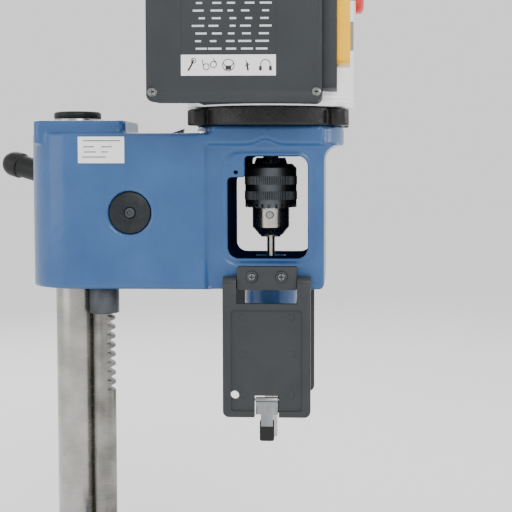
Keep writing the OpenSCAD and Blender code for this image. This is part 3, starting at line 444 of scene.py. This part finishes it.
def side_height(y, z):
    """How far the head's side stands from its middle plane."""
    wave = WAVE_Z + WAVE_RISE * np.exp(-((y - spindle_y - 2 * MM) / WAVE_WIDTH) ** 2)
    neck = eased((z - wave) / (4.5 * MM))
    arm = eased((y + 17 * MM) / (5 * MM))
    beyond = past_window(y, z)
    lip = 0.4 * MM * np.exp(-((beyond - 2.2 * MM) / (1.4 * MM)) ** 2)
    lip -= 1.5 * MM * np.exp(-((beyond - 5.2 * MM) / (1.9 * MM)) ** 2)
    return FACE + PROUD * np.maximum(neck, arm) + lip * (1 - neck)


def shape_sides(thing):
    """Moves the flat of each side out or in to side_height, less and less as the skin turns away."""
    at, out = heights(thing.data)
    (x, y, z), facing = at.T, out[:, 0]
    there = (abs(x) > 47.5 * MM) & (abs(x) < 57 * MM) & (y < -6 * MM) & (z > 401 * MM) & (z < 561 * MM)
    share = np.where(there & (facing * x > 0), eased((abs(facing) - 0.5) / 0.4), 0)
    ledge = there & (abs(x) > 49 * MM) & (abs(z - 543 * MM) < 4 * MM) & (y > -126 * MM)
    share = np.where(ledge, 1, share)
    at[:, 0] = np.sign(x) * (abs(x) + share * (side_height(y, z) - abs(x)))
    put_back(thing.data, at)
    bm = bmesh.new()
    bm.from_mesh(thing.data)
    bmesh.ops.remove_doubles(bm, verts=bm.verts, dist=0.5 * MM)
    bm.to_mesh(thing.data)
    bm.free()
    thing.data.shade_smooth()
    return int((share > 0.5).sum())


head = cast("head_casting", blue, 1.9, 3)
print("vertices on the shaped sides", shape_sides(head))

# %% [markdown]
# The faces inside the opening's outline take a second, near-black enamel. This is painted shade: the
# dark colour stands in for the shadow that falls inside the opening, not for a different paint.

# %% Painted shade inside the opening
head.data.materials.append(painted_shade_navy)
for face in head.data.polygons:
    x, y, z = face.center
    if abs(x) < FACE - 1 * MM and past_window(y, z) < 1.2 * MM:
        face.material_index = 1
finished(head, "head_casting")

# %% [markdown]
# ## Cross-head screws
# Pan-head screws with a cross recess hold the box cover and the door brackets. One geometry tree turns
# points into screws: a cone with its top cut off is the head, two small boxes cut the cross, and a
# cylinder is the shank. The sizes are its inputs, so the same tree makes both sorts.

# %% A geometry tree with named inputs
def geometry_tree(name, *sizes):
    """An empty geometry tree, and its inputs by name. Counts are whole numbers and turns are vectors."""
    tree = bpy.data.node_groups.new(name, "GeometryNodeTree")
    tree.interface.new_socket("Geometry", in_out="OUTPUT", socket_type="NodeSocketGeometry")
    tree.interface.new_socket("Geometry", in_out="INPUT", socket_type="NodeSocketGeometry")
    for size in sizes:
        kind = "Int" if size.endswith("Count") else "Vector" if size.endswith("Turn") else "Float"
        tree.interface.new_socket(size, in_out="INPUT", socket_type="NodeSocket" + kind)
    given = tree.nodes.new("NodeGroupInput")
    return tree, {output.name: output for output in given.outputs if output.name}


def close_tree(tree, geometry, material):
    real = add(tree, "GeometryNodeRealizeInstances", inputs={"Geometry": geometry})
    painted = add(tree, "GeometryNodeSetMaterial", inputs={"Geometry": real.outputs[0], "Material": material})
    add(tree, "NodeGroupOutput", inputs={"Geometry": painted.outputs[0]})


def maths(tree, operation, a, b):
    return add(tree, "ShaderNodeMath", {"operation": operation}, {0: a, 1: b}).outputs[0]


def vector(tree, x=0.0, y=0.0, z=0.0):
    return add(tree, "ShaderNodeCombineXYZ", inputs={"X": x, "Y": y, "Z": z}).outputs[0]


def moved(tree, geometry, **change):
    return add(tree, "GeometryNodeTransform", inputs={"Geometry": geometry, **change}).outputs[0]


def placed(tree, points, shape, **change):
    """A copy of shape on each point."""
    copies = add(tree, "GeometryNodeInstanceOnPoints", inputs={"Points": points, "Instance": shape, **change})
    return copies.outputs[0]


def grown(name, tree, points, **sizes):
    """The plain mesh that a tree makes on the given points, in metres. Sizes are its inputs by name."""
    seed = bpy.data.meshes.new(name)
    seed.from_pydata([tuple(p) for p in points], [], [])
    thing = bpy.data.objects.new(name, seed)
    bpy.context.scene.collection.objects.link(thing)
    modifier = thing.modifiers.new("grow", "NODES")
    modifier.node_group = tree
    for socket in tree.interface.items_tree:
        key = socket.name.lower().replace(" ", "_")
        if socket.in_out == "INPUT" and key in sizes:
            modifier[socket.identifier] = sizes[key]
    return baked(thing, 30)


def joined(name, *things):
    """Several plain meshes as one piece, each with its own material."""
    first, *rest = things
    with bpy.context.temp_override(active_object=first, selected_editable_objects=list(things)):
        bpy.ops.object.join()
    first.name = name
    return first


# %% Screws and flat discs
def screw_tree(name, material):
    tree, size = geometry_tree(
        name, "Head Radius", "Head Height", "Cross Width", "Shank Radius", "Shank Length", "Turn")
    head = add(tree, "GeometryNodeMeshCone", inputs={
        "Vertices": 28, "Radius Top": maths(tree, "MULTIPLY", size["Head Radius"], 0.7),
        "Radius Bottom": size["Head Radius"], "Depth": size["Head Height"]}).outputs["Mesh"]
    arm = maths(tree, "MULTIPLY", size["Head Radius"], 1.15)
    deep = maths(tree, "MULTIPLY", size["Head Height"], 1.8)
    slots = []
    for across in (True, False):
        width, length = (arm, size["Cross Width"]) if across else (size["Cross Width"], arm)
        box = add(tree, "GeometryNodeMeshCube", inputs={"Size": vector(tree, width, length, deep)})
        slots.append(moved(tree, box.outputs["Mesh"], Translation=vector(tree, z=size["Head Height"])))
    cut = add(tree, "GeometryNodeMeshBoolean", {"operation": "DIFFERENCE"}, {"Mesh 1": head, "Mesh 2": slots})
    shank = add(tree, "GeometryNodeMeshCylinder", inputs={
        "Vertices": 16, "Radius": size["Shank Radius"], "Depth": size["Shank Length"]}).outputs["Mesh"]
    sunk = moved(tree, shank, Translation=vector(tree, z=maths(tree, "MULTIPLY", size["Shank Length"], -0.5)))
    whole = add(tree, "GeometryNodeJoinGeometry", inputs={"Geometry": [cut.outputs["Mesh"], sunk]}).outputs[0]
    close_tree(tree, placed(tree, size["Geometry"], whole, Rotation=size["Turn"]), material)
    return tree


def disc_tree(name, material):
    tree, size = geometry_tree(name, "Disc Radius", "Disc Height", "Turn")
    disc = add(tree, "GeometryNodeMeshCone", inputs={
        "Vertices": 32, "Radius Top": maths(tree, "MULTIPLY", size["Disc Radius"], 0.9),
        "Radius Bottom": size["Disc Radius"], "Depth": size["Disc Height"]}).outputs["Mesh"]
    close_tree(tree, placed(tree, size["Geometry"], disc, Rotation=size["Turn"]), material)
    return tree


def facing(side):
    """The turn that points a screw's head along -X for side -1 and +X for side 1."""
    return (0.0, side * math.pi / 2, 0.0)


zinc_screws, black_discs = screw_tree("cross_head_screws", zinc), disc_tree("black_washers", black_oxide)

# %% Screws in place
low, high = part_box("cover_screws")
HEAD = 4.8 * MM
seat = low[0] + 1.8 * MM
across, up = (low[1] + HEAD, high[1] - HEAD), (low[2] + HEAD, high[2] - HEAD)
corners = [(seat, y, z) for y in across for z in up]
finished(grown("cover_screw_set", zinc_screws, corners, head_radius=HEAD, head_height=1.9 * MM,
    cross_width=1.5 * MM, shank_radius=2 * MM, shank_length=13 * MM, turn=facing(-1)), "cover_screws")

low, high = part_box("bracket_screws")
WASHER = 6 * MM
sides = []
for side, x in ((-1, low[0]), (1, high[0])):
    seat = x - side * 3.1 * MM
    spots = [(seat, y, (low[2] + high[2]) / 2) for y in (low[1] + WASHER, high[1] - WASHER)]
    sides.append(grown("bracket_screw", zinc_screws, [(s[0] + side * 0.8 * MM, s[1], s[2]) for s in spots],
        head_radius=4.4 * MM, head_height=2.3 * MM, cross_width=1.6 * MM, shank_radius=2.4 * MM,
        shank_length=20 * MM, turn=facing(side)))
    sides.append(grown("bracket_washer", black_discs, spots, disc_radius=WASHER, disc_height=1.1 * MM,
        turn=facing(side)))
finished(joined("bracket_screw_set", *sides), "bracket_screws")
print("screws in place")

# %% [markdown]
# ## Drill doors with pin marks
# The doors are moulded. Six ejector pins push each one out of its mould and leave faint round pads on
# the recessed panel. A disc on each of six points adds them.

# %% Doors
pads = disc_tree("ejector_pads", door_plastic)
for name, side in (("door_left", -1), ("door_right", 1)):
    low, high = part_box(name)
    inner = (low[0] + 2.5 * MM) if side < 0 else (high[0] - 2.5 * MM)
    rows = [low[2] + share * (high[2] - low[2]) for share in (0.16, 0.45, 0.71)]
    columns = [low[1] + share * (high[1] - low[1]) for share in (0.22, 0.77)]
    marks = [(inner, y, z) for y in columns for z in rows]
    spots = grown(name + "_pads", pads, marks,
        disc_radius=3.6 * MM, disc_height=0.35 * MM, turn=facing(side))
    finished(joined(name + "_panel", softened(name, door_plastic, 0.7), spots), name)

# %% [markdown]
# ## Chuck body
# The body is turned steel. Three holes round it take the pilot of the chuck key, and each has a bright
# hardened bush with a dark ring where the bush meets the body.

# %% Chuck body
low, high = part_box("chuck_body")
axis_x, axis_y = (low[0] + high[0]) / 2, (low[1] + high[1]) / 2
KEY_HOLE_UP = 21 * MM
body_r, key_z = (high[0] - low[0]) / 2, low[2] + KEY_HOLE_UP
rims, bushes = disc_tree("key_hole_rims", black_oxide), disc_tree("key_hole_bushes", zinc)
parts = [softened("chuck_body", tool_steel, 0.5)]
for turn in (60, 180, 300):
    across, along = math.cos(math.radians(turn)), math.sin(math.radians(turn))
    for tree, radius, proud in ((rims, 4.6, 0.1), (bushes, 3.5, 0.35)):
        r = body_r - 1.2 * MM
        spot = (axis_x + r * across, axis_y + r * along, key_z)
        parts.append(grown("key_hole", tree, [spot], disc_radius=radius * MM,
            disc_height=(1.2 + proud) * MM, turn=(0.0, math.pi / 2, math.radians(turn))))
finished(joined("chuck_body_turned", *parts), "chuck_body")

# %% [markdown]
# ## Knurled chuck sleeve
# Two bands of straight knurling give a grip on the sleeve. The wheel that rolls them leaves ridges about
# a millimetre apart. A cube turned on its edge is one ridge, and a geometry tree stands it round a circle.

# %% Sleeve
def knurl_tree(name, material):
    tree, size = geometry_tree(name, "Band Radius", "Ridge Count", "Ridge Width", "Band Height")
    ring = add(tree, "GeometryNodeMeshCircle", inputs={
        "Vertices": size["Ridge Count"], "Radius": size["Band Radius"]}).outputs["Mesh"]
    ridge = add(tree, "GeometryNodeMeshCube", inputs={
        "Size": vector(tree, size["Ridge Width"], size["Ridge Width"], size["Band Height"])}).outputs["Mesh"]
    on_edge = moved(tree, ridge, Rotation=(0.0, 0.0, math.pi / 4))
    place = add(tree, "GeometryNodeInputPosition").outputs[0]
    out = add(tree, "FunctionNodeAlignRotationToVector", {"axis": "X"}, {"Vector": place}).outputs[0]
    band = placed(tree, ring, on_edge, Rotation=out)
    bands = placed(tree, size["Geometry"], band)
    close_tree(tree, bands, material)
    return tree


low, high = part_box("chuck_sleeve")
middle_x, middle_y = (low[0] + high[0]) / 2, (low[1] + high[1]) / 2
sleeve_r = (high[0] - low[0]) / 2
bands = [(middle_x, middle_y, low[2] + share * (high[2] - low[2])) for share in (0.28, 0.62)]
ridges = grown("knurling", knurl_tree("straight_knurl", black_oxide), bands, band_radius=sleeve_r - 0.35 * MM,
    ridge_count=90, ridge_width=1.2 * MM, band_height=8.5 * MM)
finished(joined("knurled_sleeve", softened("chuck_sleeve", black_oxide, 0.5), ridges), "chuck_sleeve")

# %% [markdown]
# ## Motor shell
# The motor's shell is rolled steel between two end frames, held by four long tie bolts. Each end frame
# leaves a low band round the shell, and the heads of the tie bolts show above the lower one. Bands and
# bolts repeat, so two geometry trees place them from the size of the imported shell.

# %% Bands and tie bolts
def band_tree(name, material):
    tree, size = geometry_tree(name, "Band Radius", "Band Height")
    band = add(tree, "GeometryNodeMeshCylinder", inputs={
        "Vertices": 96, "Radius": size["Band Radius"], "Depth": size["Band Height"]}).outputs["Mesh"]
    close_tree(tree, placed(tree, size["Geometry"], band), material)
    return tree


low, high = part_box("motor_housing")
shell_x, shell_y = (low[0] + high[0]) / 2, (low[1] + high[1]) / 2
shell_r = (high[0] - low[0]) / 2
SHELL_SCREWS_UP = (22, 128)
rings = [(shell_x, shell_y, low[2] + up * MM) for up in (5, 9.5)]
bands = grown("end_frame_bands", band_tree("rolled_bands", motor_paint), rings,
    band_radius=shell_r + 0.9 * MM, band_height=2.4 * MM)
bolts = []
for turn in (30, 150, 210, 330):
    across, along = math.cos(math.radians(turn)), math.sin(math.radians(turn))
    reach = shell_r - 0.6 * MM
    spots = [(shell_x + reach * across, shell_y + reach * along, low[2] + up * MM) for up in SHELL_SCREWS_UP]
    bolts.append(grown("shell_screw", zinc_screws, spots, head_radius=3.6 * MM, head_height=2.2 * MM,
        cross_width=1.2 * MM, shank_radius=1.8 * MM, shank_length=6 * MM,
        turn=(0.0, math.pi / 2, math.radians(turn))))
shell = softened("motor_housing", motor_paint, 1.2)
finished(joined("motor_shell", shell, bands, *bolts), "motor_housing")

# %% [markdown]
# ## Label and sticker
# A screen-printed panel on the box cover says how to work safely: rows of words over a white strip of
# picture signs. No words are drawn here, so each word is a short plain bar of its own length, from a
# grid in a geometry tree. The signs show gloves, glasses, a dust mask, a hand and ear defenders, drawn
# as strokes of white or dark film a tenth of a millimetre thick.

# %% Rows of plain bars
def row_tree(name, material):
    tree, size = geometry_tree(
        name, "Row Count", "Word Count", "Row Pitch", "Word Pitch", "Bar Height", "Film")
    rows, words = size["Row Count"], size["Word Count"]
    grid = add(tree, "GeometryNodeMeshGrid", inputs={
        "Size X": maths(tree, "MULTIPLY", size["Word Pitch"], maths(tree, "SUBTRACT", words, 1.0)),
        "Size Y": maths(tree, "MULTIPLY", size["Row Pitch"], maths(tree, "SUBTRACT", rows, 1.0)),
        "Vertices X": words, "Vertices Y": rows}).outputs["Mesh"]
    bar = add(tree, "GeometryNodeMeshCube", inputs={
        "Size": vector(tree, size["Word Pitch"], size["Bar Height"], size["Film"])}).outputs["Mesh"]
    length = add(tree, "FunctionNodeRandomValue", {"data_type": "FLOAT_VECTOR"}, {
        0: (0.35, 1.0, 1.0), 1: (0.85, 1.0, 1.0), "Seed": 4})
    shift = add(tree, "FunctionNodeRandomValue", {"data_type": "FLOAT_VECTOR"}, {
        0: (-2.5 * MM, 0.0, 0.0), 1: (2.5 * MM, 0.0, 0.0), "Seed": 9})
    uneven = add(tree, "GeometryNodeSetPosition", inputs={"Geometry": grid, "Offset": shift.outputs[0]})
    text = placed(tree, uneven.outputs[0], bar, Scale=length.outputs[0])
    upright = moved(tree, text, Rotation=(math.pi / 2, 0.0, -math.pi / 2))
    close_tree(tree, placed(tree, size["Geometry"], upright), material)
    return tree


def film(name, material, x, thickness, strokes):
    """Flat strokes on a plane that faces -X. A stroke is a half width and a list of (y, z) points."""
    bm = bmesh.new()
    for half, points in strokes:
        points = [Vector(p) for p in points]
        edges = []
        for i, p in enumerate(points):
            ahead = points[min(i + 1, len(points) - 1)] - points[max(i - 1, 0)]
            side = Vector((-ahead.y, ahead.x)).normalized() * half
            square = [(depth, *(p + s * side)) for depth in (x, x + thickness) for s in (-1, 1)]
            edges.append([bm.verts.new(corner) for corner in square])
        for a, b in zip(edges, edges[1:]):
            for i, j in ((0, 1), (1, 3), (3, 2), (2, 0)):
                bm.faces.new((a[i], a[j], b[j], b[i]))
        for end in (edges[0], edges[-1]):
            bm.faces.new((end[0], end[1], end[3], end[2]))
    bmesh.ops.recalc_face_normals(bm, faces=bm.faces)
    thing = to_object(name, bm)
    thing.data.materials.append(material)
    return thing


def arc(centre, radius, start, stop, steps=14):
    """Points of a circle from start to stop degrees."""
    turns = [math.radians(start + (stop - start) * i / steps) for i in range(steps + 1)]
    return [(centre[0] - radius * math.cos(a), centre[1] + radius * math.sin(a)) for a in turns]


# %% Label on the cover
low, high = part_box("box_cover")
FILM = 0.12 * MM
cover_x, label_y, strip_z = low[0] - FILM, (low[1] + high[1]) / 2 + 4.8 * MM, low[2] + 33.5 * MM
label_half, strip_half = 43.5 * MM, 9.5 * MM
ink = moulded("dark_screen_ink", "#26282a", "#303234", 2.0, 0.1, 0.5)
pale_ink = moulded("white_screen_ink", "#c9cccd", "#dcdfe0", 2.0, 0.1, 0.5)
strip = film("picture_strip", white_film, cover_x, FILM, [
    (strip_half, [(label_y - label_half, strip_z), (label_y + label_half, strip_z)])])
ROW_PITCH = 6.9 * MM
first_row = strip_z + strip_half + 5.4 * MM
rows = grown("label_rows", row_tree("plain_label_rows", pale_ink),
    [(cover_x + FILM / 2, label_y - 3 * MM, first_row + 3 * ROW_PITCH)],
    row_count=7, word_count=5, row_pitch=ROW_PITCH, word_pitch=14.5 * MM, bar_height=1.7 * MM, film=FILM)


def signs(step):
    """Strokes of the five picture signs, from the rear of the strip to its front."""
    centres = [(label_y + (2 - i) * step, strip_z) for i in range(5)]
    thin, wide = 0.35 * MM, 0.8 * MM

    def at(i, y, z):
        return (centres[i][0] - y * MM, centres[i][1] + z * MM)

    def ring(i, y, z, r, start=0, stop=360):
        return arc(at(i, y, z), r * MM, start, stop)

    yield from ((wide, [at(0, -3, -5), at(0, 0, 0), at(0, 2, 5)]), (thin, ring(0, 2, 4, 2.2)))
    yield from ((thin, ring(1, -3.4, -1.5, 2.8)), (thin, ring(1, 3.4, 0.5, 2.8)))
    yield from ((thin, [at(1, -6, 0), at(1, -7, 5)]), (thin, [at(1, 6, 2), at(1, 3, 6)]))
    yield from ((1.9 * MM, [at(2, -2.6, -2.4), at(2, 2.6, -2.4)]), (thin, ring(2, 0, 0, 5.4)))
    yield from ((thin, [at(2, -5, 1.8), at(2, -2.4, -1)]), (thin, [at(2, 5, 1.8), at(2, 2.4, -1)]))
    yield from ((wide, [at(3, 1, -5), at(3, 0, 2)]), (thin, [at(3, -2, -1), at(3, 3, 1)]))
    yield (thin, [at(3, -1, 4), at(3, 1, 1)])
    yield from ((thin, ring(4, 0, 0.5, 4.4, -20, 200)), (1.3 * MM, [at(4, -4.6, -1), at(4, -4.6, -5)]))
    yield (1.3 * MM, [at(4, 4.6, -1), at(4, 4.6, -5)])


pictures = film("picture_signs", ink, cover_x - FILM, FILM, list(signs(17 * MM)))
edges_y = [label_y + s * label_half for s in (1, -1)]
sides = film("label_edges", ink, cover_x + FILM / 2, FILM / 2, [
    (0.2 * MM, [(y, strip_z + strip_half), (y, high[2] - 14 * MM)]) for y in edges_y])
label = joined("safety_label", strip, rows, pictures, sides)
finished(joined("box_cover_with_label", softened("box_cover", powder_grey, 0.8), label), "box_cover")

# %% Inspection sticker on the arm
arm_x = -55 * MM - 2 * FILM
STICKER_Z, STICKER_HALF, MARGIN_Y = 538 * MM, 13 * MM, 70 * MM
paper_piece = film("sticker_paper", white_film, arm_x - FILM, 2 * FILM, [
    (STICKER_HALF, [(66 * MM, STICKER_Z), (112 * MM, STICKER_Z)])])
ENTRIES = ((0, 37, 547), (8, 19, 541), (26, 37, 541), (12, 19, 536), (24, 36, 536), (14, 38, 531))
lines = [(0.45 * MM, [(MARGIN_Y + skip * MM, z * MM), (MARGIN_Y + length * MM, z * MM)])
    for skip, length, z in ENTRIES]
marks = film("sticker_lines", ink, arm_x - 2 * FILM, FILM, lines)
sticker = joined("inspection_sticker", paper_piece, marks)
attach(sticker, NODES["head_casting"]["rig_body"])
print("label and sticker in place")

# %% The table board
board = blank("oiled_hardboard")
place = add(board, "ShaderNodeTexCoord").outputs["Object"]
drawn = add(board, "ShaderNodeMapping", inputs={"Vector": place, "Scale": (1, 0.12, 1)})
fibre = add(board, "ShaderNodeTexNoise", inputs={
    "Vector": drawn.outputs[0], "Scale": 1 / (2 * MM), "Detail": 8.0})
tint = add(board, "ShaderNodeMix", {"data_type": "RGBA"}, {
    0: fibre.outputs["Fac"], 6: colour("#9c7445"), 7: colour("#c49a68")})
bump = add(board, "ShaderNodeBump", inputs={
    "Height": fibre.outputs["Fac"], "Strength": 0.3, "Distance": 0.2 * MM})
done(board, Base_Color=tint.outputs[2], Roughness=0.55, Normal=bump.outputs[0])
edged("table_board", board, 1.5)
